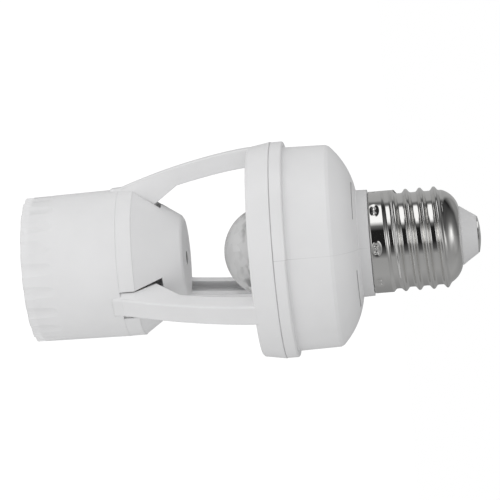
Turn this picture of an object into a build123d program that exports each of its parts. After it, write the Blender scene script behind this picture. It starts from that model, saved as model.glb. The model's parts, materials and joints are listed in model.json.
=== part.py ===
"""Motion sensor lamp holder: a screw cap, a round sensor housing, and a lamp socket on three arms.

Frame, in millimetres: the origin is the centre of the lamp socket's open mouth, and +Z runs from there
up the common axis to the tip of the screw cap. Azimuths run from +X towards +Y, and one arm stands at -X.
"""

from build123d import *
from math import cos, hypot, radians, sin, sqrt, tan
import os

# Lamp socket: the screw shell for the lamp, and the sleeve round it that a hand grips
lamp_shell_radius = 13.35
lamp_shell_wall = 0.5
insert_wall = 3.05
sleeve_wall = 2.35
sleeve_height = 24.4
mouth_draft = 0.4
ledge_width = 1.2
ledge_height = 1.6
seat_recess_width = 0.7
seat_recess_depth = 1.2

# Grip flutes round the mouth
flute_count = 20
flute_length = 7.9
flute_depth = 0.45
flute_end_depth = 0.31
flute_hollow = 4.5
flute_phase_deg = 12.3

# Rear cap of the lamp socket: a band, then a cone with a flat end
band_height = 4.0
cone_height = 12.0
cone_inset = 8.45
cap_turn_deg = -0.45
rear_cap_wall = 1.6
rear_cap_edge = 0.5
notch_half_width = 4.2
notch_height = 10.7
notch_depth = 10.25
screw_hole_radius = 1.7
screw_shank_radius = 1.0
screw_length = 6.0
screw_seat_depth = 4.2

# Lamp socket insides
insert_recess = 2.5
insert_floor = 3.0
lamp_shell_inset = 0.6
lamp_shell_above_ledge = 0.3
lamp_shell_corner = 0.8
contact_room = 3.7
screw_post_radius = 3.2

# Centre contact, its rivet and the shell's rivet
strip_thickness = 0.4
tongue_width = 6.0
tongue_drop = 2.8
tongue_end_x = 2.8
tongue_curl = 0.35
strip_root_reach = 1.9
rivet_ring_inset = 2.75
strip_pivot_inset = 2.1
shell_rivet_azimuth = 300
contact_rivet_azimuth = 180
rivet_radius = 1.0
rivet_head_radius = 1.6
rivet_head_height = 0.6
rivet_boss_radius = 2.2
rivet_room = 0.3
rivet_play = 0.85

# Arms
arm_azimuths = (60, 180, 300)
arm_depth = 4.9
arm_bulge = 1.05
arm_half_width_at_sleeve = 2.7
arm_half_width_at_ring = 2.95
arm_inner_half_width = 2.5
arm_edge = 0.4
arm_floor = 1.1
channel_half_width = 1.4
arm_overlap_down = 2.1
arm_proud = 0.3
foot_half_width = 4.0
foot_tip_half_width = 3.5
foot_sink = 0.9
foot_tip_rise = 5.1
foot_end_rise = 11.3
foot_step = 0.15

# Sensor housing: front ring and face
lens_to_socket = 9.9
ring_flare = 0.9
ring_height = 6.1
face_thickness = 2.0
housing_wall = 2.0

# Sensor housing: rear shell
flange_height = 3.2
flange_round = 0.5
flange_bulge = 0.15
body_height = 11.7
flange_proud = 1.7
body_draft = 0.25
dome_height = 6.0
dome_bulge = 1.08
collar_height = 3.0
collar_radius = 13.9
slot_from_collar = 3.3
slot_width = 0.6
slot_depth = 0.7
slot_span_deg = 46
slot_below_dome_top = 0.8
slot_azimuth = 39.5
lip_height = 1.5

# Lens
lens_radius = 12.0
lens_wall = 0.6
lens_protrusion = 8.3
lens_flange_width = 2.6
lens_flange_thickness = 1.0
retainer_height = 2.0

# Circuit board and what it carries
board_inset = 3.5
board_thickness = 1.6
board_standoff = 5.4
board_post_radius = 2.4
board_post_inset = 3.4
post_from_lens_flange = 5.0
post_azimuths = (0, 120, 240)
board_screw_radius = 0.85
board_screw_head_radius = 1.7
board_screw_grip = 2.2
pir_radius = 4.6
pir_height = 4.1
pir_window = (4.0, 3.0)
light_sensor_radius = 2.1
relay_height = 11.6
can_height = 10.0
film_height = 9.5
chip_size = (9.9, 3.9)
chip_height = 1.5
chip_foot_pitch = 1.27
diode_size = (2.6, 4.3)
diode_height = 2.1
resistor_size = (1.6, 3.2)
resistor_height = 0.6

# Places on the board, and the plans of its largest pieces, in shares of its radius
light_sensor_at = (0.33, 0)
relay_at = (-0.383, 0)
relay_plan = (0.66, 0.826)
can_at = (0.283, 0.457)
can_share = 0.174
can_groove = (1.4, 1.9)
can_groove_depth = 0.4
film_at = (0.37, -0.391)
film_plan = (0.565, 0.217)
chip_at = (0.417, 0.026)
diodes_at = [(-0.22, -0.61), (-0.065, -0.61), (-0.22, 0.61), (-0.065, 0.61)]
resistors_at = [
    (0.609, -0.652), (0.478, -0.696), (0.348, -0.63), (0.217, -0.652), (0.674, 0.33), (0.565, 0.37),
]
live_pad = (0.074, 0.226)
neutral_pad = (0.061, -0.157)
neutral_wire_run = 6.5
live_wire_drop = 4.0

# Screw cap
cap_crest_radius = 13.2
cap_root_radius = 12.2
cap_bore_radius = 11.7
cap_skirt_height = 5.3
cap_thread_height = 13.6
cap_wall = 0.5
cap_shoulder_height = 4.2
cap_mouth_radius = 7.8
shoulder_bulge = 0.75
tip_height = 4.3
tip_radius = 4.9
contact_radius = 4.7
contact_height = 0.9
contact_stem_radius = 1.2
neck_bore_radius = 9.4
neutral_hole_azimuth = 270
neutral_hole_below_mouth = 13.7

# Wires
wire_radius = 0.95
tight_bend = 1.9 * wire_radius
wide_bend = 12.6 * wire_radius
wire_hole_from_edge = 3.8
wire_from_outside = 3.5
wire_below_ring_face = 4.0
wire_above_face = 4.2
wire_past_face = 1.2
wire_from_board_edge = 2.4
wire_entry_above_rivet = 3.6
wired_arm_azimuths = {"lamp_live_wire": contact_rivet_azimuth, "lamp_neutral_wire": shell_rivet_azimuth}

# Clearances
fit = 0.05
slide = 0.1
touch = 0.01

# Radii of the lamp socket, from its screw shell outwards and inwards
sleeve_bore_radius = lamp_shell_radius + lamp_shell_wall + insert_wall
sleeve_radius = sleeve_bore_radius + sleeve_wall
mouth_radius = sleeve_radius - mouth_draft
ledge_bore_radius = sleeve_bore_radius - ledge_width
seat_recess_radius = sleeve_bore_radius + seat_recess_width
cone_end_radius = sleeve_radius - cone_inset
notch_inner_radius = sleeve_radius - notch_depth
rivet_ring_radius = lamp_shell_radius - rivet_ring_inset
lamp_shell_end_radius = rivet_ring_radius - strip_pivot_inset
tongue_pivot_x = -lamp_shell_end_radius

# Radii of the sensor housing, from its lens outwards
lens_flange_radius = lens_radius + lens_flange_width
board_post_ring = lens_flange_radius + post_from_lens_flange
board_radius = board_post_ring + board_post_inset
body_radius = board_radius + board_inset
ring_radius = body_radius + flange_proud
ring_face_radius = ring_radius - ring_flare
wire_hole_radius = ring_face_radius - wire_hole_from_edge
slot_ring_radius = collar_radius + slot_from_collar

# Heights of the faces where pieces meet, stacked up from the mouth
band_top = sleeve_height + band_height
cone_top = band_top + cone_height
lens_pole = cone_top + lens_to_socket
ring_face = lens_pole + lens_protrusion
lens_centre = lens_pole + lens_radius
parting = ring_face + ring_height
flange_top = parting + flange_height
body_top = flange_top + body_height
dome_top = body_top + dome_height
collar_top = dome_top + collar_height
skirt_top = collar_top + cap_skirt_height
thread_top = skirt_top + cap_thread_height
cap_mouth = thread_top + cap_shoulder_height
tip_top = cap_mouth + tip_height
ledge_top = sleeve_height - seat_recess_depth
ledge_base = ledge_top - ledge_height
lamp_shell_base = insert_recess + lamp_shell_inset
lamp_shell_top = ledge_base + lamp_shell_above_ledge
floor_base = lamp_shell_top + contact_room
floor_top = floor_base + insert_floor
face_back = ring_face + face_thickness
board_front = face_back + board_standoff
board_back = board_front + board_thickness
rivet_tail_top = floor_top + rivet_head_height
screw_seat = cone_top - screw_seat_depth
post_joint = screw_seat - rear_cap_wall
slot_floor = dome_top - slot_below_dome_top - slot_depth
stem_base = tip_top - 3.2
neutral_hole_height = cap_mouth - neutral_hole_below_mouth
wire_entry_height = rivet_tail_top + wire_entry_above_rivet


def turned_face(*edges):
    """A face in the XZ plane, from edges drawn as (radius, height)."""
    return Plane.XZ * make_face(Curve() + list(edges))


def turned(*edges):
    """A solid of revolution about Z, from edges drawn as (radius, height)."""
    return revolve(turned_face(*edges), Axis.Z)


def turned_polygon(*corners):
    return turned(*Polyline(*corners, close=True).edges())


def tube(outer, inner, base, top):
    return turned_polygon((inner, base), (outer, base), (outer, top), (inner, top))


def rod(radius, base, top):
    return Pos(0, 0, base) * extrude(Circle(radius), top - base)


def bulged_arc(start, end, bulge):
    """An arc whose middle stands off the chord by bulge, to the right of the way from start to end."""
    along, across = end[0] - start[0], end[1] - start[1]
    chord = hypot(along, across)
    middle_radius = (start[0] + end[0]) / 2 + bulge * across / chord
    middle_height = (start[1] + end[1]) / 2 - bulge * along / chord
    return ThreePointArc(start, (middle_radius, middle_height), end)


def outlined(corners, arcs):
    """A closed outline's edges: straight from corner to corner, or bulged by what arcs gives for it."""
    pairs = zip(corners, corners[1:] + corners[:1])
    return [
        bulged_arc(a, b, arcs[number]) if number in arcs else Line(a, b)
        for number, (a, b) in enumerate(pairs)
    ]


def around(azimuths, solid):
    return [Rot(0, 0, azimuth) * solid for azimuth in azimuths]


def arm_outer_radius(height):
    """The arms swell outwards on their way from the sleeve to the ring."""
    share = (height - sleeve_height) / (ring_face - sleeve_height)
    straight = sleeve_radius + arm_proud + share * (ring_face_radius - sleeve_radius - arm_proud)
    return straight + arm_bulge * 4 * share * (1 - share)


def rear_cap_radius(height):
    """Outside radius of the socket's rear cap: the band, then the cone."""
    share = max(0, (height - band_top) / cone_height)
    return sleeve_radius + share * (cone_end_radius - sleeve_radius)


def arm_half_width(height):
    """Half the width of an arm's outer face, which widens from the sleeve to the ring."""
    share = max(0, (height - sleeve_height) / (ring_face - sleeve_height))
    return arm_half_width_at_sleeve + share * (arm_half_width_at_ring - arm_half_width_at_sleeve)


def section(height, inner, inner_half, outer, outer_half):
    """A level section of an arm that runs out along +X, with its two outer corners taken off."""
    edge = min(arm_edge, (outer - inner) / 3)
    half = [(inner, inner_half), (outer - edge, outer_half), (outer, outer_half - edge)]
    corners = half + [(x, -y) for x, y in reversed(half)]
    return Pos(0, 0, height) * make_face(Polyline(*corners, close=True))


def arm_bar():
    """The plain bar of an arm, from the sleeve's top edge into the ring's face."""
    steps = 6
    rise = face_back - sleeve_height - fit
    sections = []
    for step in range(steps + 1):
        height = sleeve_height + rise * step / steps
        outer = min(arm_outer_radius(height), ring_face_radius)
        inner = max(outer - arm_depth, rear_cap_radius(min(height, cone_top)) - foot_sink)
        sections.append(section(height, inner, arm_inner_half_width, outer, arm_half_width(height)))
    return loft(sections)


def arm_foot():
    """The wedge that joins the bar to the sleeve and lies in the rear cap's notch."""
    start = sleeve_height - arm_overlap_down
    tip = band_top + foot_tip_rise
    end = band_top + foot_end_rise
    middle = (start + band_top) / 2
    pad_radius = sleeve_radius + arm_proud
    band_inner = rear_cap_radius(band_top) - foot_sink
    rows = [
        (start, sleeve_bore_radius + fit, foot_half_width, pad_radius),
        (middle, band_inner, foot_half_width, arm_outer_radius(middle) - foot_step),
        (band_top, band_inner, foot_half_width, arm_outer_radius(band_top) - foot_step),
        (tip, rear_cap_radius(tip) - foot_sink, foot_tip_half_width, arm_outer_radius(tip) - foot_step),
        (end, arm_outer_radius(end) - arm_depth, arm_inner_half_width, arm_outer_radius(end) - foot_step),
    ]
    return loft([section(*row, arm_half_width(row[0])) for row in rows], ruled=True)


def arm_channel():
    """The wire channel that opens towards the axis, from the foot to the face."""
    start = band_top + foot_sink
    steps = 5
    sections = []
    for step in range(steps + 1):
        height = start + (ring_face - start) * step / steps
        outer = arm_outer_radius(height) - arm_floor
        inner = rear_cap_radius(height) - 3 * foot_sink
        sections.append(section(height, inner, channel_half_width, outer, channel_half_width))
    return loft(sections)


def wire_hole():
    """Where a wire leaves the channel and passes through the housing's face."""
    outer = ring_face_radius - arm_depth + 2 * wire_radius + 4 * slide
    inner = ring_face_radius - arm_depth - slide
    size = (outer - inner, 2 * channel_half_width, 2 * face_thickness)
    return Pos((outer + inner) / 2, 0, ring_face + face_thickness / 2) * Box(*size)


def flute_cutter():
    """One grip flute: a shallow round hollow, deepest at the mouth, with a round end."""
    below = 1.0
    run = flute_length - sqrt(2 * flute_end_depth * flute_hollow)
    end_radius = mouth_radius + mouth_draft * run / sleeve_height
    start = Vector(mouth_radius + flute_hollow - flute_depth, 0, 0)
    end = Vector(end_radius + flute_hollow - flute_end_depth, 0, run)
    along = (end - start).normalized()
    hollow = Plane(origin=start - along * below, z_dir=along) * Circle(flute_hollow)
    return extrude(hollow, (end - start).length + below) + Pos(*end) * Sphere(flute_hollow)


def arm_frame():
    """Socket sleeve, three arms, and the sensor housing's front ring and face, moulded as one piece."""
    sleeve = turned_polygon(
        (sleeve_bore_radius, 0), (mouth_radius, 0), (sleeve_radius, sleeve_height),
        (seat_recess_radius, sleeve_height), (seat_recess_radius, ledge_top),
        (ledge_bore_radius, ledge_top), (ledge_bore_radius, ledge_base), (sleeve_bore_radius, ledge_base),
    )
    phases = [flute_phase_deg + 360 * k / flute_count for k in range(flute_count)]
    sleeve -= around(phases, flute_cutter())
    ring_bore = ring_radius - housing_wall - 0.4
    ring = turned_polygon(
        (lens_radius + 2 * slide, ring_face), (ring_face_radius - 0.5, ring_face),
        (ring_face_radius, ring_face + 0.5), (ring_radius, parting - 0.15), (ring_radius - 0.15, parting),
        (ring_bore, parting), (ring_bore, face_back), (lens_radius + 2 * slide, face_back),
    )
    collar_bore = lens_flange_radius + 0.4 + fit
    collar_end = face_back + lens_flange_thickness + retainer_height
    ring += tube(collar_bore + 1.2, collar_bore, face_back - fit, collar_end)
    post = tube(board_post_radius, board_screw_radius + fit, face_back - fit, board_front)
    posts = around(post_azimuths, Pos(board_post_ring, 0, 0) * post)
    bars = around(arm_azimuths, arm_bar() + arm_foot() - arm_channel())
    frame = sleeve + bars + ring
    frame -= around(wired_arm_azimuths.values(), wire_hole())
    return frame + posts


def rear_cap():
    """Closes the lamp socket's back: a band, a cone and a screw post, with a notch for each arm's foot."""
    seat = ledge_top + fit
    spigot = seat_recess_radius - slide
    bore = ledge_bore_radius + slide
    end_wall = cone_top - rear_cap_wall
    soft = rear_cap_edge
    slope = (sleeve_radius - cone_end_radius) / cone_height
    shell = turned_polygon(
        (bore, seat), (spigot, seat), (spigot, sleeve_height + touch),
        (sleeve_radius - fit, sleeve_height + touch), (sleeve_radius - fit, band_top - fit),
        (sleeve_radius - 3 * slide, band_top + 2 * fit), (cone_end_radius + slope * soft, cone_top - soft),
        (cone_end_radius - soft, cone_top), (0, cone_top), (0, end_wall),
        (cone_end_radius - rear_cap_wall, end_wall), (bore, floor_top + 3 * slide),
    )
    notch_top = sleeve_height + notch_height
    notch = Pos(sleeve_radius, 0, (seat + notch_top) / 2 - 1) * Box(
        2 * (sleeve_radius - notch_inner_radius), 2 * notch_half_width, notch_top - seat + 2)
    shell -= around(arm_azimuths, notch)
    shell += rod(screw_post_radius, post_joint, end_wall + fit)
    shell -= rod(screw_hole_radius, screw_seat, cone_top + 1)
    shell -= rod(screw_shank_radius + slide, post_joint - 1, screw_seat + 1)
    return Rot(0, 0, cap_turn_deg) * shell


def rear_cap_screw():
    """Small screw sunk in the cone's end, which draws the rear cap and the socket insert together."""
    head = rod(screw_hole_radius - slide, screw_seat + 0.01, screw_seat + 1.3)
    head -= Pos(0, 0, screw_seat + 1.3) * (Box(2.2, 0.5, 1.2) + Box(0.5, 2.2, 1.2))
    return head + rod(screw_shank_radius, screw_seat - screw_length, screw_seat + 0.1)


def at_ring(azimuth, radius, solid):
    return Rot(0, 0, azimuth) * Pos(radius, 0, 0) * solid


def socket_insert():
    """The cup that carries the lamp's screw shell; it bears up against the sleeve's ledge."""
    outer = sleeve_bore_radius - slide
    neck = ledge_bore_radius - slide
    bore = lamp_shell_radius + lamp_shell_wall + slide / 2
    room = bore - 1
    cup = turned_polygon(
        (bore, insert_recess), (outer, insert_recess), (outer, ledge_base - fit), (neck, ledge_base - fit),
        (neck, floor_top), (0, floor_top), (0, floor_base), (room, floor_base),
        (room, lamp_shell_top + 0.01), (bore, lamp_shell_top + 0.01),
    )
    cup += rod(screw_post_radius, floor_top - fit, post_joint - 0.02)
    cup -= rod(screw_shank_radius + fit, floor_top, post_joint + 1)
    boss = rod(rivet_boss_radius, lamp_shell_top + 0.01, floor_base + fit)
    cup += at_ring(shell_rivet_azimuth, rivet_ring_radius, boss)
    hole = rod(rivet_radius + fit, lamp_shell_top - 1, floor_top + 1)
    for azimuth in (shell_rivet_azimuth, contact_rivet_azimuth):
        cup -= at_ring(azimuth, rivet_ring_radius, hole)
    return cup


def lamp_screw_shell():
    """Metal screw shell for the lamp, drawn plain, with a flat end that a rivet holds to the insert."""
    bore, outer = lamp_shell_radius, lamp_shell_radius + lamp_shell_wall
    end = lamp_shell_top - lamp_shell_wall
    corner = lamp_shell_corner
    shell = turned_polygon(
        (bore, lamp_shell_base), (outer, lamp_shell_base), (outer, lamp_shell_top - corner),
        (outer - corner, lamp_shell_top), (lamp_shell_end_radius, lamp_shell_top),
        (lamp_shell_end_radius, end), (bore - corner, end), (bore, end - corner),
    )
    hole = rod(rivet_radius + fit, end - 1, lamp_shell_top + 1)
    return shell - at_ring(shell_rivet_azimuth, rivet_ring_radius, hole)


def rivet(azimuth, head_top):
    """A rivet with a flat head below head_top and a spread tail on the back of the insert's floor."""
    head = rod(rivet_head_radius, head_top - rivet_head_height, head_top - 0.01)
    tail = rod(rivet_head_radius, floor_top + 0.01, rivet_tail_top)
    shank = rod(rivet_radius, head_top - 0.1, rivet_tail_top - 0.1)
    return at_ring(azimuth, rivet_ring_radius, head + shank + tail)


def centre_contact():
    """Sprung strip: a flat root under the insert's floor, and a tongue that the lamp's tip pushes back."""
    top = floor_base - fit
    near_end = top - tongue_drop + tongue_curl
    line = [(-rivet_ring_radius - strip_root_reach, top), (tongue_pivot_x, top), (-tongue_end_x, near_end),
            (0, top - tongue_drop), (tongue_end_x, near_end)]
    back = [(x, z - strip_thickness) for x, z in reversed(line)]
    profile = Plane.XZ * make_face(Polyline(*line, *back, close=True))
    strip = extrude(profile, tongue_width / 2, both=True)
    corners = strip.edges().filter_by(Axis.Z)
    tip = corners.group_by(Axis.X)[-1]
    strip = fillet(tip, tongue_width / 2 - 0.6)
    hole = rod(rivet_radius + rivet_room, top - 2, top + 1)
    return strip - Pos(-rivet_ring_radius, 0, 0) * hole


def rear_housing():
    """The sensor's rear shell with its flange, dome, collar, the neck inside the screw cap, and the tip."""
    lip = ring_radius - housing_wall - 0.4 - slide
    wall = body_radius - housing_wall
    neck = cap_bore_radius - fit
    step = skirt_top - cap_wall
    drawn_in = body_radius - body_draft
    seat = cap_crest_radius - cap_wall - slide
    top = cap_mouth_radius - 0.2
    inner_dome = ((wall + collar_radius - housing_wall) / 2 + dome_bulge / 3, (body_top + dome_top) / 2)
    outline = outlined(
        [
            (wall, parting - lip_height), (lip, parting - lip_height), (lip, parting + fit),
            (ring_radius - slide, parting + fit), (ring_radius - slide, flange_top - flange_round),
            (ring_radius - slide - flange_round, flange_top), (body_radius + 0.3, flange_top),
            (body_radius, flange_top + 0.3), (drawn_in, body_top - 0.8), (drawn_in - 0.4, body_top),
            (collar_radius, dome_top), (collar_radius - 0.1, collar_top - fit), (seat, collar_top - fit),
            (seat, step - fit), (neck, step - fit), (neck, thread_top - 0.6), (top, cap_mouth - 0.6),
            (top, cap_mouth + 0.3), (tip_radius + 1.4, cap_mouth + 0.5 * tip_height), (tip_radius, tip_top),
            (contact_stem_radius + fit, tip_top), (contact_stem_radius + fit, tip_top - 2),
            (tip_radius - 1, tip_top - 2), (neck_bore_radius - 2.2, cap_mouth - 1.5),
            (neck_bore_radius, thread_top - 1.5), (neck_bore_radius, dome_top - 1.2),
            (collar_radius - housing_wall, dome_top - housing_wall), inner_dome,
            (wall - 0.4, body_top - housing_wall),
        ],
        {4: flange_bulge, 9: dome_bulge},
    )
    shell = turned(*outline)
    height = dome_top - slot_floor
    slot = Plane.XZ * Pos(slot_ring_radius, slot_floor + height / 2) * Rectangle(slot_width, height)
    slot = Rot(0, 0, -slot_span_deg / 2) * revolve(slot, Axis.Z, slot_span_deg)
    shell -= around([slot_azimuth + 90 * k for k in range(4)], slot)
    hole = Rot(0, 0, neutral_hole_azimuth) * Pos(neck, 0, neutral_hole_height) * (
        Rot(0, 90, 0) * Cylinder(wire_radius + fit, 2 * (cap_bore_radius - neck_bore_radius) + 2))
    return shell - hole


def cap_shell():
    """Pressed screw shell: a skirt, the thread drawn plain, and a rounded shoulder with an open mouth."""
    skirt_bore = cap_crest_radius - cap_wall
    middle = (cap_bore_radius - 1.9, (thread_top + cap_mouth) / 2 - 0.1)
    outline = outlined(
        [
            (skirt_bore, collar_top), (cap_crest_radius, collar_top), (cap_crest_radius, skirt_top),
            (cap_root_radius, skirt_top), (cap_root_radius, thread_top), (cap_mouth_radius, cap_mouth),
            (cap_mouth_radius, cap_mouth - cap_wall), middle, (cap_bore_radius, thread_top - 0.2),
            (cap_bore_radius, skirt_top - cap_wall), (skirt_bore, skirt_top - cap_wall),
        ],
        {4: shoulder_bulge},
    )
    return turned(*outline)


def cap_contact():
    """Domed contact at the tip, with a stem down through the tip for the live wire."""
    swell = contact_height - 0.3
    ball = (contact_radius ** 2 + swell ** 2) / (2 * swell)
    dome = rod(contact_radius, tip_top + 0.02, tip_top + contact_height + 1)
    dome &= Pos(0, 0, tip_top + contact_height - ball) * Sphere(ball)
    return dome + rod(contact_stem_radius, stem_base, tip_top + 0.1)


def lens_dome():
    """Thin translucent dome with a flange behind the housing's face."""
    back = face_back + fit + lens_flange_thickness
    inner = lens_radius - lens_wall
    ball = Pos(0, 0, lens_centre) * Sphere(lens_radius)
    ball += rod(lens_flange_radius, face_back + fit, back)
    ball -= Pos(0, 0, lens_centre) * Sphere(inner)
    ball -= rod(inner, lens_centre - 0.7, lens_centre + 2 * lens_radius)
    return ball - Pos(0, 0, back + lens_radius) * Cylinder(2 * lens_radius, 2 * lens_radius)


def lens_retainer():
    """Ring pressed into the collar behind the face, over the lens flange."""
    base = face_back + fit + lens_flange_thickness + 0.02
    return tube(lens_flange_radius + 0.4, lens_radius + 0.4, base, base + retainer_height)


def circuit_board():
    board = rod(board_radius, board_front + 0.01, board_back)
    hole = rod(board_screw_radius + slide, board_front - 1, board_back + 1)
    return board - around(post_azimuths, Pos(board_post_ring, 0, 0) * hole)


def board_screws():
    """Three screws that hold the board on its posts."""
    head = rod(board_screw_head_radius, board_back + 0.01, board_back + 1.2)
    screw = head + rod(board_screw_radius, board_front - board_screw_grip, board_back + 0.1)
    return Compound(children=around(post_azimuths, Pos(board_post_ring, 0, 0) * screw))


def pir_sensor():
    """Round metal can with a rim at its foot and a window in its front."""
    front = board_front - pir_height
    can = rod(pir_radius - 0.4, front, board_front) + rod(pir_radius, board_front - 0.6, board_front)
    return can - Pos(0, 0, front) * Box(*pir_window, 0.4)


def on_board_at(place):
    """Turns shares of the board's radius into a place in millimetres."""
    return place[0] * board_radius, place[1] * board_radius


def light_sensor():
    radius = light_sensor_radius
    disc = rod(radius, board_front - 2.2, board_front - 0.01)
    disc &= Pos(0, 0, board_front) * Box(1.7 * radius, 4 * radius, 4 * radius)
    return Pos(*on_board_at(light_sensor_at), 0) * disc


def on_back(place, solid):
    """Stands a solid on the back of the board."""
    return Pos(*on_board_at(place), board_back + 0.01) * solid


def boxed(width, length, height, soft):
    body = extrude(Rectangle(width, length), height)
    return chamfer(body.edges().filter_by(Axis.Z) + body.edges().group_by(Axis.Z)[-1], soft)


def control_chip():
    """Chip with a row of feet along each side."""
    length, width = chip_size
    body = Pos(0, 0, 0.2) * extrude(Rectangle(length, width), chip_height)
    foot = Pos(0, width / 2 + 0.45, 0.1) * Box(0.42, 1.3, 0.2)
    foot += Pos(0, width / 2 + 0.05, 0.5) * Box(0.42, 0.3, 1.0)
    row = [Pos(chip_foot_pitch * (k - 3.5), 0, 0) * foot for k in range(8)]
    return on_back(chip_at, body + row + [Rot(0, 0, 180) * leg for leg in row])


def switch_relay():
    return on_back(relay_at, boxed(*on_board_at(relay_plan), relay_height, 0.5))


def smoothing_capacitor():
    """Upright can with a groove rolled in near its foot."""
    radius = can_share * board_radius
    can = chamfer(rod(radius, 0, can_height).edges().group_by(Axis.Z)[-1], 0.5)
    return on_back(can_at, can - tube(radius + 0.5, radius - can_groove_depth, *can_groove))


def film_capacitor():
    return on_back(film_at, boxed(*on_board_at(film_plan), film_height, 0.4))


def rectifier_diodes():
    diode = extrude(Rectangle(*diode_size), diode_height)
    return Compound(children=[on_back(place, diode) for place in diodes_at])


def resistors():
    chip = extrude(Rectangle(*resistor_size), resistor_height)
    return Compound(children=[on_back(place, chip) for place in resistors_at])


def wire(name, points, radii):
    """A round wire along straight runs joined by arcs."""
    print(name, "bend radii", radii)
    path = FilletPolyline(*points, radius=radii)
    start = path @ 0
    return sweep(Plane(start, z_dir=path % 0) * Circle(wire_radius), path)


def live_wire_in():
    x, y = on_board_at(live_pad)
    end = board_back + 0.01
    points = [(0, 0, stem_base - 0.01), (0, 0, thread_top - live_wire_drop), (x, y, collar_top), (x, y, end)]
    return wire("live_wire_in", points, [wide_bend, wide_bend])


def neutral_wire_in():
    x, y = on_board_at(neutral_pad)
    z = neutral_hole_height
    inside = cap_bore_radius - neutral_wire_run
    points = [(0, 0.3 - cap_bore_radius, z), (0, -inside, z), (x, y, collar_top), (x, y, board_back + 0.01)]
    return wire("neutral_wire_in", points, [1.5 * tight_bend, 0.8 * wide_bend])


def lamp_wire(name):
    """A wire from the board, out through the face, down an arm's channel and in to its rivet."""
    board_hole = board_radius - wire_from_board_edge
    entry = arm_outer_radius(wire_entry_height) - wire_from_outside
    points = [
        (board_hole, board_front), (board_hole, face_back + wire_above_face),
        (wire_hole_radius, face_back + wire_past_face),
        (wire_hole_radius, ring_face - wire_below_ring_face), (entry, wire_entry_height),
        (rivet_ring_radius, wire_entry_height), (rivet_ring_radius, rivet_tail_top + 0.01),
    ]
    radii = [tight_bend, tight_bend, wide_bend, tight_bend, tight_bend]
    return Rot(0, 0, wired_arm_azimuths[name]) * wire(name, [(r, 0, z) for r, z in points], radii)


parts = {
    "arm_frame": arm_frame,
    "socket_rear_cap": rear_cap,
    "rear_cap_screw": rear_cap_screw,
    "socket_insert": socket_insert,
    "lamp_screw_shell": lamp_screw_shell,
    "contact_rivet": lambda: rivet(contact_rivet_azimuth, floor_base - fit - strip_thickness - rivet_play),
    "shell_rivet": lambda: rivet(shell_rivet_azimuth, lamp_shell_top - lamp_shell_wall),
    "centre_contact": centre_contact,
    "rear_housing": rear_housing,
    "cap_shell": cap_shell,
    "cap_contact": cap_contact,
    "lens_dome": lens_dome,
    "lens_retainer": lens_retainer,
    "circuit_board": circuit_board,
    "board_screws": board_screws,
    "pir_sensor": pir_sensor,
    "light_sensor": light_sensor,
    "control_chip": control_chip,
    "switch_relay": switch_relay,
    "smoothing_capacitor": smoothing_capacitor,
    "film_capacitor": film_capacitor,
    "rectifier_diodes": rectifier_diodes,
    "resistors": resistors,
    "live_wire_in": live_wire_in,
    "neutral_wire_in": neutral_wire_in,
    "lamp_live_wire": lambda: lamp_wire("lamp_live_wire"),
    "lamp_neutral_wire": lambda: lamp_wire("lamp_neutral_wire"),
}

os.makedirs("parts", exist_ok=True)
for name, make in parts.items():
    solid = make()
    box = solid.bounding_box()
    print(name, "solids", len(solid.solids()), "volume", round(solid.volume, 1), "valid", solid.is_valid,
          "z", round(box.min.Z, 2), round(box.max.Z, 2))
    export_step(solid, "parts/" + name + ".step")
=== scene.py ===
"""Looks of the motion sensor lamp holder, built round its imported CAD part.

Metres, in the part's frame: +Z runs up the axis from the lamp socket's mouth to the tip of the screw cap.
"""

import json
import math

import bpy
from mathutils import Matrix, Vector


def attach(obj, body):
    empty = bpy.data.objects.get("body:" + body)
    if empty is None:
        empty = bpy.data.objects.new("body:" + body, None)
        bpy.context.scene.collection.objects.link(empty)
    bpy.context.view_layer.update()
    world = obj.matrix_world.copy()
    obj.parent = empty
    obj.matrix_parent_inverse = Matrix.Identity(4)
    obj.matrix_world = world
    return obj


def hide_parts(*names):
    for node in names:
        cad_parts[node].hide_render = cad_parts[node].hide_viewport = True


MM = 0.001
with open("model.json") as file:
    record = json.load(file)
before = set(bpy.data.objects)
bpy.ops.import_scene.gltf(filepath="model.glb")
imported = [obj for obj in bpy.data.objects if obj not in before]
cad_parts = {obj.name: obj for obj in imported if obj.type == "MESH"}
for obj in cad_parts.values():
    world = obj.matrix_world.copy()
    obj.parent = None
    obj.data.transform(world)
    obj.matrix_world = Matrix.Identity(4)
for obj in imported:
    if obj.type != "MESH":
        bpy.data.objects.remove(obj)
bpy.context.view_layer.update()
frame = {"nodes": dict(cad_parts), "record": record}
nodes = frame["nodes"]
BODY = "holder"

# Heights and radii of the drawn solids where the plastic's look changes or where painted shade and
# reflections begin, and the azimuth of the mould seam
SOCKET_JOINT, JOINT_REACH = 0.0244, 0.0012
PARTING, SEAM_AZIMUTH, NECK_FROM, SEAM_TO = 0.0647, 89.3, 0.0856, 0.0885
SCREW_HOLE, SCREW_HOLE_FROM = 0.0017, 0.03
LENS_FOOT, LENS_MIDDLE = 0.0575, 0.0545
# The slots' ring, and the height and slope of the dome's surface there
SLOT_RADIUS, SLOT_WIDTH, SLOT_TOP, DOME_SLOPE = 0.0172, 0.0006, 0.08484, 0.3125


# Materials
def material(name, base, rough, metal=0.0):
    """A Principled material with one colour and roughness, with its tree and shader for more detail."""
    mat = bpy.data.materials.new(name)
    mat.use_nodes = True
    tree = mat.node_tree
    shader = tree.nodes["Principled BSDF"]
    shader.inputs["Base Color"].default_value = (*base, 1)
    shader.inputs["Roughness"].default_value = rough
    shader.inputs["Metallic"].default_value = metal
    return mat, tree, shader


def add(tree, kind, **values):
    """Adds a node and sets its inputs by name, or its properties where no input has that name."""
    node = tree.nodes.new(kind)
    for key, value in values.items():
        if key in node.inputs:
            node.inputs[key].default_value = value
        else:
            setattr(node, key, value)
    return node


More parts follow.
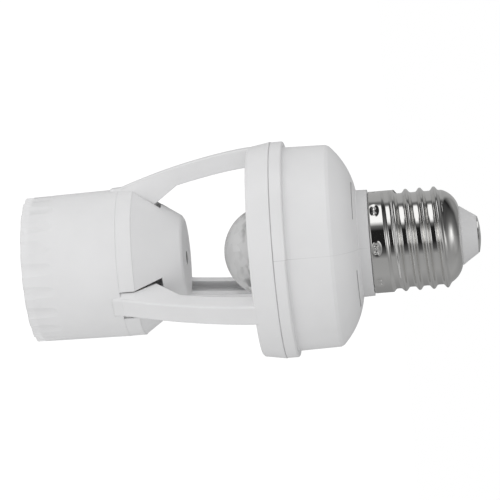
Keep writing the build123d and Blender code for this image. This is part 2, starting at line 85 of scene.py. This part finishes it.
def place(tree):
    """The point being shaded, in the frame's metres."""
    return add(tree, "ShaderNodeTexCoord").outputs["Object"]


def noise(tree, scale, detail):
    """Soft random clouds from nought to one."""
    cloud = add(tree, "ShaderNodeTexNoise", Scale=scale, Detail=detail, Roughness=0.5)
    tree.links.new(place(tree), cloud.inputs["Vector"])
    return cloud.outputs["Fac"]


def remap(tree, value, low, high, start=0.0, end=1.0):
    """Runs from low to high while the value runs from start to end, and stays there outside."""
    span = add(tree, "ShaderNodeMapRange")
    span.inputs["From Min"].default_value = start
    span.inputs["From Max"].default_value = end
    span.inputs["To Min"].default_value = low
    span.inputs["To Max"].default_value = high
    tree.links.new(value, span.inputs["Value"])
    return span.outputs["Result"]


def maths(tree, operation, first, second=0.0):
    """One arithmetic step on two values, each a socket or a number."""
    step = add(tree, "ShaderNodeMath", operation=operation)
    for socket, value in zip(step.inputs, (first, second)):
        if isinstance(value, (int, float)):
            socket.default_value = value
        else:
            tree.links.new(value, socket)
    return step.outputs[0]


def bump(tree, shader, value, distance, strength=1.0, edge=0.0):
    """Fine relief, over edges that look rounded to the given radius, but for the socket's fine joint."""
    relief = add(tree, "ShaderNodeBump", Strength=strength, Distance=distance)
    tree.links.new(value, relief.inputs["Height"])
    if edge:
        soft = add(tree, "ShaderNodeBevel", samples=8)
        at_joint = line_at_height(tree, SOCKET_JOINT, JOINT_REACH)
        away = maths(tree, "SUBTRACT", 1.0, maths(tree, "MULTIPLY", at_joint, 0.85))
        tree.links.new(maths(tree, "MULTIPLY", away, edge), soft.inputs["Radius"])
        tree.links.new(soft.outputs["Normal"], relief.inputs["Normal"])
    tree.links.new(relief.outputs["Normal"], shader.inputs["Normal"])


def darken(tree, shader, amount):
    """Multiplies whatever colour the shader has by one minus the amount, a socket."""
    base = shader.inputs["Base Color"]
    before = base.links[0].from_socket
    keep = maths(tree, "SUBTRACT", 1.0, amount)
    mix = add(tree, "ShaderNodeVectorMath", operation="SCALE")
    tree.links.new(before, mix.inputs[0])
    tree.links.new(keep, mix.inputs["Scale"])
    tree.links.new(mix.outputs[0], base)


def specks(tree):
    """One where a tiny dark fleck lies, at random places on every side."""
    spacing, radius, share = 0.011, 0.00013, 0.35
    cells = add(tree, "ShaderNodeTexVoronoi", Scale=1 / spacing)
    tree.links.new(place(tree), cells.inputs["Vector"])
    near = remap(tree, cells.outputs["Distance"], 1, 0, radius / spacing, 1.6 * radius / spacing)
    chosen = maths(tree, "LESS_THAN", component(tree, cells.outputs["Color"], 0), share)
    return maths(tree, "MULTIPLY", near, chosen)


def component(tree, vector, index):
    """One of a vector's three numbers."""
    parts = add(tree, "ShaderNodeSeparateXYZ")
    tree.links.new(vector, parts.inputs[0])
    return parts.outputs[index]


def height_of(tree):
    """How high the point being shaded is."""
    return component(tree, place(tree), 2)


def from_axis(tree):
    """How far the point being shaded is from the part's axis."""
    flat = add(tree, "ShaderNodeVectorMath", operation="MULTIPLY")
    tree.links.new(place(tree), flat.inputs[0])
    flat.inputs[1].default_value = (1, 1, 0)
    radius = add(tree, "ShaderNodeVectorMath", operation="LENGTH")
    tree.links.new(flat.outputs[0], radius.inputs[0])
    return radius.outputs["Value"]


def line_at_height(tree, height, half_width):
    """One on a ring round the axis at one height, fading to nothing over its half-width."""
    off = maths(tree, "ABSOLUTE", maths(tree, "SUBTRACT", height_of(tree), height))
    return remap(tree, off, 1, 0, 0, half_width)


def line_along(tree, azimuth, half_width):
    """One on the lines where a plane through the axis cuts the surface, at this azimuth and opposite."""
    turn = math.radians(azimuth)
    side = add(tree, "ShaderNodeVectorMath", operation="DOT_PRODUCT")
    tree.links.new(place(tree), side.inputs[0])
    side.inputs[1].default_value = (-math.sin(turn), math.cos(turn), 0)
    return remap(tree, maths(tree, "ABSOLUTE", side.outputs["Value"]), 1, 0, 0, half_width)


def moulded(name, base, rough, edge=0.0):
    """Injection-moulded plastic: faint cloudiness, uneven gloss and a fine grain."""
    mottle, grain, spread = 0.02, 0.00001, 0.06
    mat, tree, shader = material(name, base, rough)
    ramp = add(tree, "ShaderNodeValToRGB")
    low = tuple(c * (1 - mottle) for c in base)
    high = tuple(min(1, c * (1 + mottle)) for c in base)
    ramp.color_ramp.elements[0].color = (*low, 1)
    ramp.color_ramp.elements[1].color = (*high, 1)
    ramp.color_ramp.elements[0].position = 0.3
    ramp.color_ramp.elements[1].position = 0.7
    tree.links.new(noise(tree, 90, 3), ramp.inputs["Fac"])
    tree.links.new(ramp.outputs["Color"], shader.inputs["Base Color"])
    gloss = remap(tree, noise(tree, 240, 4), rough - spread, rough + spread)
    tree.links.new(gloss, shader.inputs["Roughness"])
    bump(tree, shader, noise(tree, 2600, 2), grain, edge=edge)
    return mat


def housing_plastic(name, parting_height=None, seam=None, neck_shade_from=None):
    """White moulded plastic with flecks and, where given, a seam, a parting line darkened by painted shade
    and a neck darkened by painted shade.
    """
    mat = moulded(name, (0.71, 0.71, 0.715), 0.4, edge=0.00035)
    tree = mat.node_tree
    shader = tree.nodes["Principled BSDF"]
    shader.inputs["Subsurface Weight"].default_value = 0.08
    shader.inputs["Subsurface Radius"].default_value = (0.0015, 0.0015, 0.0015)
    darken(tree, shader, maths(tree, "MULTIPLY", specks(tree), 0.6))
    uneven = remap(tree, noise(tree, 130, 3), 0.1, 1, 0.35, 0.65)
    if parting_height is not None:
        # painted shade in the joint at the parting line, broken up at random
        line = maths(tree, "MULTIPLY", line_at_height(tree, parting_height, 0.00022), uneven)
        darken(tree, shader, maths(tree, "MULTIPLY", line, 0.2))
    if seam is not None:
        below_cap = remap(tree, height_of(tree), 1, 0, SEAM_TO, SEAM_TO + 0.0002)
        shown = maths(tree, "MULTIPLY", uneven, below_cap)
        line = maths(tree, "MULTIPLY", line_along(tree, seam, 0.00012), shown)
        darken(tree, shader, maths(tree, "MULTIPLY", line, 0.25))
    if neck_shade_from is not None:
        # painted shade: above this height the neck is darkened, as though less light reached it
        neck_shade = remap(tree, height_of(tree), 0, 0.17, neck_shade_from, neck_shade_from + 0.0003)
        darken(tree, shader, neck_shade)
    return mat


def plated(name, base, rough, wave=0.00001):
    """Plated or bare metal with slightly uneven gloss and a gentle ripple."""
    mat, tree, shader = material(name, base, rough, 1.0)
    tree.links.new(remap(tree, noise(tree, 700, 3), rough * 0.6, rough * 1.5), shader.inputs["Roughness"])
    bump(tree, shader, noise(tree, 320, 1), wave)
    return mat


def lens_material():
    """Milky plastic moulded with small lens facets, which are painted in its colour as faint patches, with
    painted reflections that make them darker towards the base.
    """
    mat, tree, shader = material("lens_plastic", (0.7, 0.7, 0.7), 0.22)
    shader.inputs["Transmission Weight"].default_value = 0.12
    shader.inputs["IOR"].default_value = 1.45
    shader.inputs["Subsurface Weight"].default_value = 0.3
    shader.inputs["Subsurface Radius"].default_value = (0.002, 0.002, 0.002)
    # painted light: each facet's cell gets a slightly different shade
    cells = add(tree, "ShaderNodeTexVoronoi", Scale=420)
    tree.links.new(place(tree), cells.inputs["Vector"])
    patch = component(tree, cells.outputs["Color"], 0)
    # painted reflections: the cells are darker towards the dome's foot, in clumps
    base = remap(tree, height_of(tree), 0.05, 0.55, LENS_MIDDLE, LENS_FOOT)
    clumps = remap(tree, noise(tree, 330, 1), 0, 1, 0.48, 0.6)
    dark = maths(tree, "MULTIPLY", maths(tree, "MULTIPLY", patch, base), maths(tree, "ADD", clumps, 0.15))
    keep = maths(tree, "SUBTRACT", remap(tree, patch, 1, 0.93), dark)
    tone = add(tree, "ShaderNodeVectorMath", operation="SCALE")
    tone.inputs[0].default_value = (0.7, 0.7, 0.7)
    tree.links.new(keep, tone.inputs["Scale"])
    tree.links.new(tone.outputs[0], shader.inputs["Base Color"])
    bump(tree, shader, cells.outputs["Distance"], 0.00006, 0.5)
    return mat


def rear_cap_plastic():
    """The white plastic, with its screw hole in shade."""
    mat = housing_plastic("rear_cap_plastic")
    tree = mat.node_tree
    in_hole = remap(tree, from_axis(tree), 0.6, 0, SCREW_HOLE + 0.00002, SCREW_HOLE + 0.00008)
    above = remap(tree, height_of(tree), 0, 1, SCREW_HOLE_FROM, SCREW_HOLE_FROM + 0.0002)
    darken(tree, tree.nodes["Principled BSDF"], maths(tree, "MULTIPLY", in_hole, above))
    return mat


def shade_slots(mat):
    """Puts the insides of the four slots in the housing's dome in shade."""
    tree = mat.node_tree
    off = maths(tree, "SUBTRACT", from_axis(tree), SLOT_RADIUS)
    in_slot = remap(tree, maths(tree, "ABSOLUTE", off), 0.45, 0, SLOT_WIDTH * 0.53, SLOT_WIDTH * 0.6)
    surface = maths(tree, "SUBTRACT", SLOT_TOP, maths(tree, "MULTIPLY", off, DOME_SLOPE))
    over = maths(tree, "SUBTRACT", height_of(tree), surface)
    below = remap(tree, over, 1, 0, -0.00006, -0.00003)
    darken(tree, tree.nodes["Principled BSDF"], maths(tree, "MULTIPLY", in_slot, below))


NICKEL = plated("nickel", (0.86, 0.855, 0.84), 0.05, 0.000012)
BY_SLOT = {
    "white_plastic": housing_plastic("white_plastic"),
    "nickel": NICKEL,
    "contact_metal": plated("contact_metal", (0.8, 0.8, 0.79), 0.16),
    "lens_plastic": lens_material(),
    "board_green": moulded("board_green", (0.03, 0.14, 0.05), 0.35),
    "steel": plated("steel", (0.6, 0.61, 0.62), 0.3),
    "brass": plated("brass", (0.75, 0.56, 0.27), 0.28),
    "black_plastic": moulded("black_plastic", (0.025, 0.025, 0.027), 0.45),
    "amber_plastic": moulded("amber_plastic", (0.4, 0.14, 0.03), 0.3),
    "insert_plastic": moulded("insert_plastic", (0.62, 0.62, 0.6), 0.5),
    "white_wire": moulded("white_wire", (0.7, 0.7, 0.7), 0.4),
    "red_wire": moulded("red_wire", (0.42, 0.03, 0.02), 0.4),
}
BY_NODE = {
    "arm_frame": housing_plastic("frame_plastic", PARTING),
    "rear_housing": housing_plastic("shell_plastic", PARTING, SEAM_AZIMUTH, NECK_FROM),
    "socket_rear_cap": rear_cap_plastic(),
}
shade_slots(BY_NODE["rear_housing"])
for part in frame["record"]["subparts"]:
    for slot in nodes[part["node"]].material_slots:
        slot.material = BY_NODE.get(part["node"], BY_SLOT[part["material_slot"]])


# Pieces
SHARP_EDGE = math.radians(50)


def link_object(name, data):
    """An object in the scene that shows a mesh, light or camera."""
    thing = bpy.data.objects.new(name, data)
    bpy.context.scene.collection.objects.link(thing)
    return thing


def mesh_object(name, verts, faces, mat):
    mesh = bpy.data.meshes.new(name)
    mesh.from_pydata(verts, [], faces)
    mesh.materials.append(mat)
    return link_object(name, mesh)


def facing(azimuth, z, radius_at, outward):
    """Which way a threaded surface faces at one place, worked out from the places beside it."""
    turn, tiny = math.radians(azimuth), 0.02
    swing = math.degrees(tiny / radius_at(azimuth, z))
    rise = (radius_at(azimuth, z + tiny) - radius_at(azimuth, z - tiny)) / (2 * tiny)
    slew = (radius_at(azimuth + swing, z) - radius_at(azimuth - swing, z)) / (2 * tiny)
    way = Vector((math.cos(turn) + slew * math.sin(turn), math.sin(turn) - slew * math.cos(turn), -rise))
    return tuple(way.normalized() * outward)


def threaded_ring(name, low, high, radius_at, rest, around, rows_per_lap, mat, outward=1):
    """A closed ring: a threaded band from low to high, whose rows climb with the thread, and the rest of the
    profile from the band's top round to its foot, as rows (radius from the azimuth, height)."""
    places, verts, normals, faces = {}, [], [], []

    def corner(column, z, radius, threaded):
        key = (column % around, round(z, 5), round(radius, 5))
        if key not in places:
            azimuth = 360 * key[0] / around
            turn = math.radians(azimuth)
            places[key] = len(verts)
            verts.append((radius * math.cos(turn) * MM, radius * math.sin(turn) * MM, z * MM))
            normals.append(facing(azimuth, z, radius_at, outward) if threaded else (0, 0, 0))
        return places[key]

    def face(*corners):
        kept = [c for k, c in enumerate(corners) if c != corners[k - 1]]
        if len(set(kept)) > 2:
            faces.append(kept)

    step = PITCH / rows_per_lap
    rows = int((high - low) / step) + 1
    for k in range(around):
        sides = []
        for column in (k, k + 1):
            azimuth = 360 * (column % around) / around
            climb = PITCH * column / around
            heights = [min(high, max(low, low + climb + step * j)) for j in range(-rows_per_lap, rows + 1)]
            side = [corner(column, z, radius_at(azimuth, z), low < z < high) for z in heights]
            sides.append(side + [corner(column, z, radius(azimuth), False) for radius, z in rest])
        near, far = sides
        for j in range(len(near)):
            n = (j + 1) % len(near)
            face(near[j], far[j], far[n], near[n])
    thing = mesh_object(name, verts, faces, mat)
    for polygon in thing.data.polygons:
        polygon.use_smooth = True
    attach(thing, BODY)
    thing.data.set_sharp_from_angle(angle=SHARP_EDGE)
    thing.data.normals_split_custom_set_from_vertices(normals)
    return thing


# Screw cap, in millimetres: heights and radii of the drawn solid
COLLAR_TOP, SKIRT_TOP, THREAD_TOP, CAP_MOUTH = 88.6, 93.9, 107.5, 111.7
CREST, ROOT, MOUTH = 13.2, 12.2, 7.8
THREAD_BORE, SKIRT_BORE = 11.6, 12.75
CAP_FOOT = COLLAR_TOP + 0.44
SHOULDER_BULGE = 0.75
# The thread: its pitch, where its crest crosses azimuth 0, and how far the skirt reaches past the first crest
PITCH, CREST_AT_ZERO, SKIRT_BEYOND_CREST = 3.629, 93.05, 0.3
# The first groove, by laps along it: shallow over the housing's neck, then full
GROOVE_DEPTH = [
    (0.49, 0), (0.505, 0.07), (0.535, 0.43), (0.55, 0.5), (0.8, 0.5), (0.87, 0.57), (1.03, 0.93), (1.1, 1),
]
# The laps between which the last crest sinks into the shoulder
CREST_FADES, CREST_ENDS = 3.96, 4.2
# Slope of the thread's flank in degrees, by distance along the axis from the crest's line
SLOPES = [(0, 0), (0.1, 3), (0.3, 36), (0.48, 50), (0.72, 50), (1.0, 30), (1.2, 3), (PITCH / 2, 0)]


def between(value, stops):
    """Reads a table of pairs at a value, along straight lines."""
    for (low, start), (high, end) in zip(stops, stops[1:]):
        if value <= high:
            return start + (end - start) * (value - low) / (high - low)
    return stops[-1][1]


def flank_drops(count=120):
    """Sums the slopes into drops from the crest, scaled to the thread's depth."""
    drops, step = [0.0], PITCH / 2 / count
    for k in range(count):
        drops.append(drops[-1] + step * math.tan(math.radians(between((k + 0.5) * step, SLOPES))))
    return [(k * step, drop * (CREST - ROOT) / drops[-1]) for k, drop in enumerate(drops)]


FLANK = flank_drops()
FLANK_STEP = FLANK[1][0]


def flank(off):
    """How far the thread lies inside its crest, at a distance along the axis from the crest's line."""
    k = min(len(FLANK) - 2, int(off / FLANK_STEP))
    share = off / FLANK_STEP - k
    return FLANK[k][1] + (FLANK[k + 1][1] - FLANK[k][1]) * share


def thread_drop(azimuth, z):
    """How far the threaded surface lies inside the crests at one place: laps count turns along the helix."""
    laps = (z - CREST_AT_ZERO) / PITCH - azimuth / 360
    off = (laps - round(laps)) * PITCH
    crest_at = round(laps) + azimuth / 360
    groove_at = math.floor(laps) + azimuth / 360 + 1
    if groove_at < 1 + GROOVE_DEPTH[0][0] and off > 0:
        off = max(0, off - SKIRT_BEYOND_CREST)
    drop = flank(min(abs(off), PITCH / 2))
    standing = min(1, max(0, (CREST_ENDS - crest_at) / (CREST_ENDS - CREST_FADES)))
    drop = CREST - ROOT - (CREST - ROOT - drop) * standing
    return drop * between(max(groove_at, GROOVE_DEPTH[0][0]), GROOVE_DEPTH)


# Crimp marks: height, azimuths, half the oval's size, depth, and its two pits' places, inner and outer radius
DIMPLE_HEIGHT = 90.2
DIMPLES = [226 + 45 * k for k in range(8)]
DENT_ALONG, DENT_UP, DENT_DEPTH = 2.4, 1.4, 0.2
PIT_OFF, PIT_DOWN, PIT_FLOOR, PIT_RIM, PIT_DEPTH = 0.76, 0.1, 0.3, 0.7, 0.2
DIMPLE_REACH_DEG = 12


def step_down(distance, inner, outer):
    """One inside the inner distance and nothing outside the outer one."""
    share = min(1, max(0, (outer - distance) / (outer - inner)))
    return share * share * (3 - 2 * share)


def dimple_depth(azimuth, z):
    """Each crimp mark is an oval dent with two round pits in it."""
    depth = 0.0
    for at in DIMPLES:
        swing = (azimuth - at + 180) % 360 - 180
        if abs(swing) < DIMPLE_REACH_DEG:
            along, rise = math.radians(swing) * CREST, z - DIMPLE_HEIGHT
            depth += DENT_DEPTH * max(0, 1 - math.hypot(along / DENT_ALONG, rise / DENT_UP) ** 2) ** 2
            for side in (-PIT_OFF, PIT_OFF):
                depth += PIT_DEPTH * step_down(math.hypot(along - side, rise + PIT_DOWN), PIT_FLOOR, PIT_RIM)
    return depth


def cap_radius(azimuth, z):
    """The outside of the skirt and the thread."""
    return CREST - dimple_depth(azimuth, z) - thread_drop(azimuth, z)


def shoulder(start, count=22):
    """Rows of an arc from the end of the thread to the cap's mouth, over which the thread's end fades out."""
    run, rise = MOUTH - ROOT, CAP_MOUTH - start
    chord = math.hypot(run, rise)
    big = (chord ** 2 / 4 + SHOULDER_BULGE ** 2) / (2 * SHOULDER_BULGE)
    half = math.asin(chord / 2 / big)
    for k in range(1, count + 1):
        turn = half * (2 * k / count - 1)
        along = chord / 2 + big * math.sin(turn)
        out = big * math.cos(turn) - big * math.cos(half)
        r, z = ROOT + (run * along + rise * out) / chord, start + (rise * along - run * out) / chord
        share = max(0, (r - MOUTH) / (ROOT - MOUTH))
        yield (lambda azimuth, r=r, z=z, share=share: r + (CREST - ROOT - thread_drop(azimuth, z)) * share, z)


def round_rows(*rows):
    """Profile rows (radius, height) that are the same all round."""
    return [(lambda azimuth, radius=radius: radius, z) for radius, z in rows]


def screw_cap():
    """The nickelled cap: skirt with crimp marks, thread and shoulder outside, plain inside, rolled foot."""
    rest = list(shoulder(THREAD_TOP + 0.15)) + round_rows(
        (MOUTH, CAP_MOUTH - 0.4), (THREAD_BORE, THREAD_TOP - 0.3), (THREAD_BORE, SKIRT_TOP - 1.8),
        (SKIRT_BORE, SKIRT_TOP - 1.8), (SKIRT_BORE, COLLAR_TOP + 0.02), (CREST - 0.3, COLLAR_TOP + 0.02),
        (CREST - 0.17, COLLAR_TOP + 0.07), (CREST - 0.08, COLLAR_TOP + 0.15),
        (CREST - 0.02, COLLAR_TOP + 0.26), (CREST, COLLAR_TOP + 0.36))
    cap = threaded_ring(
        "screw_cap_shell", CAP_FOOT, THREAD_TOP + 0.1, cap_radius, rest, around=480, rows_per_lap=30,
        mat=NICKEL)
    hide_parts("cap_shell")


screw_cap()

# Lamp's screw shell, in millimetres: bore, outside, the ends and the eye of the drawn solid
SHELL_BORE, SHELL_OUTSIDE, SHELL_BASE, SHELL_END, SHELL_TOP = 13.35, 13.85, 3.1, 21.4, 21.9
SHELL_CORNER, SHELL_EYE = 0.8, 8.5
# The thread that stands in from its bore
INNER_DEPTH, INNER_FROM, INNER_TO = 0.85, 3.6, 20.4


def lamp_thread_radius(azimuth, z):
    """The bore, with the thread standing in from it and fading out at both ends."""
    laps = z / PITCH - azimuth / 360
    height = 1 - flank(abs(laps - round(laps)) * PITCH) / (CREST - ROOT)
    fade = between(z, [(INNER_FROM, 0), (INNER_FROM + 1.2, 1), (INNER_TO - 2, 1), (INNER_TO, 0)])
    return SHELL_BORE - INNER_DEPTH * height * max(0, fade)


def lamp_shell():
    """The metal shell that the lamp screws into."""
    rest = round_rows(
        (SHELL_BORE, SHELL_END - SHELL_CORNER), (SHELL_BORE - SHELL_CORNER, SHELL_END),
        (SHELL_EYE, SHELL_END), (SHELL_EYE, SHELL_TOP), (SHELL_OUTSIDE - SHELL_CORNER, SHELL_TOP),
        (SHELL_OUTSIDE, SHELL_TOP - SHELL_CORNER), (SHELL_OUTSIDE, SHELL_BASE), (SHELL_BORE, SHELL_BASE))
    shell = threaded_ring(
        "lamp_shell_threaded", INNER_FROM, INNER_TO, lamp_thread_radius, rest, around=240, rows_per_lap=24,
        mat=NICKEL, outward=-1)
    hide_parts("lamp_screw_shell")


lamp_shell()

# Stage, light and camera: the azimuths that point at the camera and up in the photograph
TOWARD, UP_TURN = 263.8, 173.8


def level(azimuth):
    """The level direction at an azimuth."""
    return Vector((math.cos(math.radians(azimuth)), math.sin(math.radians(azimuth)), 0))


toward, up, axis = level(TOWARD), level(UP_TURN), Vector((0, 0, 1))


def empty_tree(holder):
    """Clears a world's or material's nodes, to build them up from nothing."""
    holder.use_nodes = True
    holder.node_tree.nodes.clear()
    return holder.node_tree


def mixed(tree, share, first, second):
    """One shader that goes from the first to the second by a share, a socket or a number."""
    mix = add(tree, "ShaderNodeMixShader")
    if isinstance(share, (int, float)):
        mix.inputs[0].default_value = share
    else:
        tree.links.new(share, mix.inputs[0])
    tree.links.new(first, mix.inputs[1])
    tree.links.new(second, mix.inputs[2])
    return mix.outputs[0]


def by_ray(tree, seen, lights):
    """One shader as the camera, reflections and clear plastic see it, and another as it lights the part."""
    path = add(tree, "ShaderNodeLightPath")
    rays = maths(tree, "MAXIMUM", path.outputs["Is Camera Ray"], path.outputs["Is Glossy Ray"])
    rays = maths(tree, "MAXIMUM", rays, path.outputs["Is Transmission Ray"])
    return mixed(tree, rays, lights, seen)


def white_world():
    world = bpy.data.worlds.new("studio")
    bpy.context.scene.world = world
    tree = empty_tree(world)
    seen = add(tree, "ShaderNodeBackground", Color=(1, 1, 1, 1), Strength=1.0)
    lights = add(tree, "ShaderNodeBackground", Color=(1, 1, 1, 1), Strength=0.8)
    out = add(tree, "ShaderNodeOutputWorld")
    tree.links.new(by_ray(tree, seen.outputs[0], lights.outputs[0]), out.inputs["Surface"])


def white_floor():
    """Pale from above, and clear from below, so that the lamp socket's mouth can be looked into."""
    mat = bpy.data.materials.new("floor")
    tree = empty_tree(mat)
    matt = add(tree, "ShaderNodeBsdfDiffuse", Color=(0.9, 0.9, 0.9, 1))
    glow = add(tree, "ShaderNodeEmission", Color=(1, 1, 1, 1), Strength=1.1)
    pale = by_ray(tree, mixed(tree, 0.9, matt.outputs[0], glow.outputs[0]), matt.outputs[0])
    below = add(tree, "ShaderNodeNewGeometry").outputs["Backfacing"]
    clear = add(tree, "ShaderNodeBsdfTransparent").outputs[0]
    out = add(tree, "ShaderNodeOutputMaterial")
    tree.links.new(mixed(tree, below, pale, clear), out.inputs["Surface"])
    side = 6.0
    corners = [(-side, -side, 0), (side, -side, 0), (side, side, 0), (-side, side, 0)]
    mesh_object("floor", corners, [(0, 1, 2, 3)], mat)


white_world()
white_floor()

# A room that only reflections see. Each row is an angle above or below level, as seen from the part, with the
# brightness at angles round the axis, counted from the camera's side.
ROOM_RADIUS, ROOM_MIDDLE, ROOM_FLOOR = 0.75, 0.1, 0.002
LEVEL = [
    (-180, 0.22), (-120, 0.28), (-80, 0.36), (-38, 0.34), (-24, 0.09), (-8, 0.015), (26, 0.015), (36, 0.15),
    (46, 1.1), (86, 1.1), (92, 0.25), (97, 0.1), (106, 0.38), (180, 0.45),
]
LEVEL_EDGE = [
    (-180, 0.22), (-120, 0.28), (-80, 0.36), (-38, 0.3), (-24, 0.09), (-8, 0.02), (26, 0.02), (48, 0.03),
    (56, 1.0), (78, 1.0), (86, 0.1), (97, 0.08), (106, 0.36), (180, 0.42),
]
NEAR = [
    (-180, 0.3), (-40, 0.34), (-24, 0.3), (-14, 0.3), (-5, 1.0), (4, 1.25), (16, 1.2), (28, 0.5), (40, 0.1),
    (62, 0.03), (86, 0.02), (100, 0.12), (112, 0.35), (180, 0.4),
]
DIM = [
    (-180, 0.3), (-60, 0.34), (-30, 0.2), (-10, 0.13), (20, 0.1), (40, 0.06), (85, 0.03), (100, 0.12),
    (112, 0.3), (180, 0.36),
]
SIDE_CARD = [
    (-180, 0.36), (-45, 0.36), (-28, 0.42), (-14, 0.62), (-4, 1.1), (16, 1.2), (26, 0.75), (38, 0.3),
    (55, 0.16), (75, 0.06), (90, 0.05), (105, 0.2), (120, 0.36), (180, 0.38),
]
RAISED = [
    (-180, 0.25), (-120, 0.36), (-60, 0.3), (-20, 0.14), (10, 0.1), (60, 0.07), (95, 0.05), (112, 0.015),
    (124, 0.12), (140, 0.28), (180, 0.25),
]
UNDER_CARD = [
    (-180, 0.22), (-130, 0.34), (-60, 0.3), (0, 0.3), (40, 0.16), (80, 0.1), (104, 0.07), (125, 0.055),
    (138, 0.1), (150, 0.2), (180, 0.2),
]
CARD_FOOT = [
    (-180, 0.12), (-140, 0.28), (-64, 0.31), (-30, 0.5), (0, 0.75), (30, 0.6), (60, 0.2), (91, 0.13),
    (125, 0.09), (142, 0.08), (180, 0.1),
]
CARD = [
    (-180, 0.2), (-120, 0.36), (-64, 0.33), (-43, 0.45), (-15, 0.95), (10, 1.2), (30, 1.15), (51, 0.6),
    (73, 0.24), (95, 0.15), (125, 0.12), (147, 0.12), (180, 0.18),
]
CARD_HEAD = [
    (-180, 0.25), (-99, 0.38), (-50, 0.5), (-20, 0.8), (10, 0.8), (40, 0.5), (70, 0.3), (105, 0.18),
    (140, 0.18), (180, 0.22),
]
TOP = [(-180, 0.33), (-99, 0.38), (0, 0.36), (90, 0.3), (180, 0.33)]
ROOM_ROWS = [
    (-85, DIM), (-60, SIDE_CARD), (-45, DIM), (-30, DIM), (-22, NEAR), (-9, NEAR), (-6, LEVEL_EDGE),
    (-3, LEVEL), (3, LEVEL), (6, LEVEL_EDGE), (9, NEAR), (22, NEAR), (29, RAISED), (44, RAISED),
    (55, UNDER_CARD), (63, CARD_FOOT), (72, CARD), (80, CARD_HEAD), (88, TOP), (89.5, TOP),
]


def room():
    """The dome of brightness round the part, down to just above the floor."""
    mat = bpy.data.materials.new("room")
    tree = empty_tree(mat)
    glow = add(tree, "ShaderNodeEmission", Strength=1.0)
    stored = add(tree, "ShaderNodeAttribute", attribute_name="brightness")
    tree.links.new(stored.outputs["Color"], glow.inputs["Color"])
    out = add(tree, "ShaderNodeOutputMaterial")
    tree.links.new(glow.outputs[0], out.inputs["Surface"])
    count, tall = 180, len(ROOM_ROWS)
    verts, faces, lights = [], [], []
    for k in range(count + 1):
        angle = 360 * k / count - 180
        for height, stops in ROOM_ROWS:
            tilt = math.radians(height)
            way = level(TOWARD - angle) * math.cos(tilt) + axis * math.sin(tilt)
            reach = min(ROOM_RADIUS, (ROOM_FLOOR - ROOM_MIDDLE) / way.z) if way.z < 0 else ROOM_RADIUS
            verts.append(axis * ROOM_MIDDLE + way * reach)
            lights.append(between(angle, stops))
    for k in range(count):
        for j in range(tall - 1):
            corner = k * tall + j
            faces.append((corner, corner + 1, corner + tall + 1, corner + tall))
    thing = mesh_object("room", verts, faces, mat)
    layer = thing.data.color_attributes.new("brightness", "FLOAT_COLOR", "POINT")
    for corner, light in zip(layer.data, lights):
        corner.color = (light, light, light, 1)
    thing.visible_camera = thing.visible_diffuse = thing.visible_shadow = False
    thing.visible_transmission = False


room()

# The height that the lights face
LIT_MIDDLE = 0.06


def soft_light(name, direction, distance, size, power, shape="SQUARE"):
    """An area light that faces the part's middle, seen by no camera ray and no reflection."""
    data = bpy.data.lights.new(name, "AREA")
    data.shape, data.size, data.energy = shape, size, power
    lamp = link_object(name, data)
    lamp.location = axis * LIT_MIDDLE + direction.normalized() * distance
    lamp.rotation_mode = "QUATERNION"
    lamp.rotation_quaternion = direction.normalized().to_track_quat("Z", "Y")
    lamp.visible_camera = lamp.visible_glossy = False


soft_light("key", up * 0.55 + toward * 0.85, 0.6, 0.11, 0.6)
soft_light("fill", toward * 0.4 - up * 0.9, 0.6, 0.11, 0.05)
soft_light("table_glow", -axis, LIT_MIDDLE - 0.0001, 0.5, 0.2, "DISK")

# Camera fitted to the photograph: distance, turn off square to the axis, roll, aim and lens
DISTANCE, YAW, ROLL = 0.5985, math.radians(4.54), math.radians(4.62)
OFFSET_RIGHT, OFFSET_UP = 0.000044, -0.000634
AIM_HEIGHT = 0.0570
LENS_MM, SENSOR_MM = 165.6, 36.0
away = -toward
across = math.cos(YAW) * axis + math.sin(YAW) * away
forward = -math.sin(YAW) * axis + math.cos(YAW) * away
right = math.cos(ROLL) * across - math.sin(ROLL) * up
above = math.sin(ROLL) * across + math.cos(ROLL) * up
spot = axis * AIM_HEIGHT - OFFSET_RIGHT * right - OFFSET_UP * above - DISTANCE * forward
lens = bpy.data.cameras.new("camera")
lens.lens, lens.sensor_width = LENS_MM, SENSOR_MM
lens.clip_start, lens.clip_end = 0.01, 50
camera = link_object("camera", lens)
camera.matrix_world = Matrix((
    (right.x, above.x, -forward.x, spot.x),
    (right.y, above.y, -forward.y, spot.y),
    (right.z, above.z, -forward.z, spot.z),
    (0, 0, 0, 1),
))
bpy.context.scene.camera = camera
bpy.context.scene.view_settings.view_transform = "Standard"
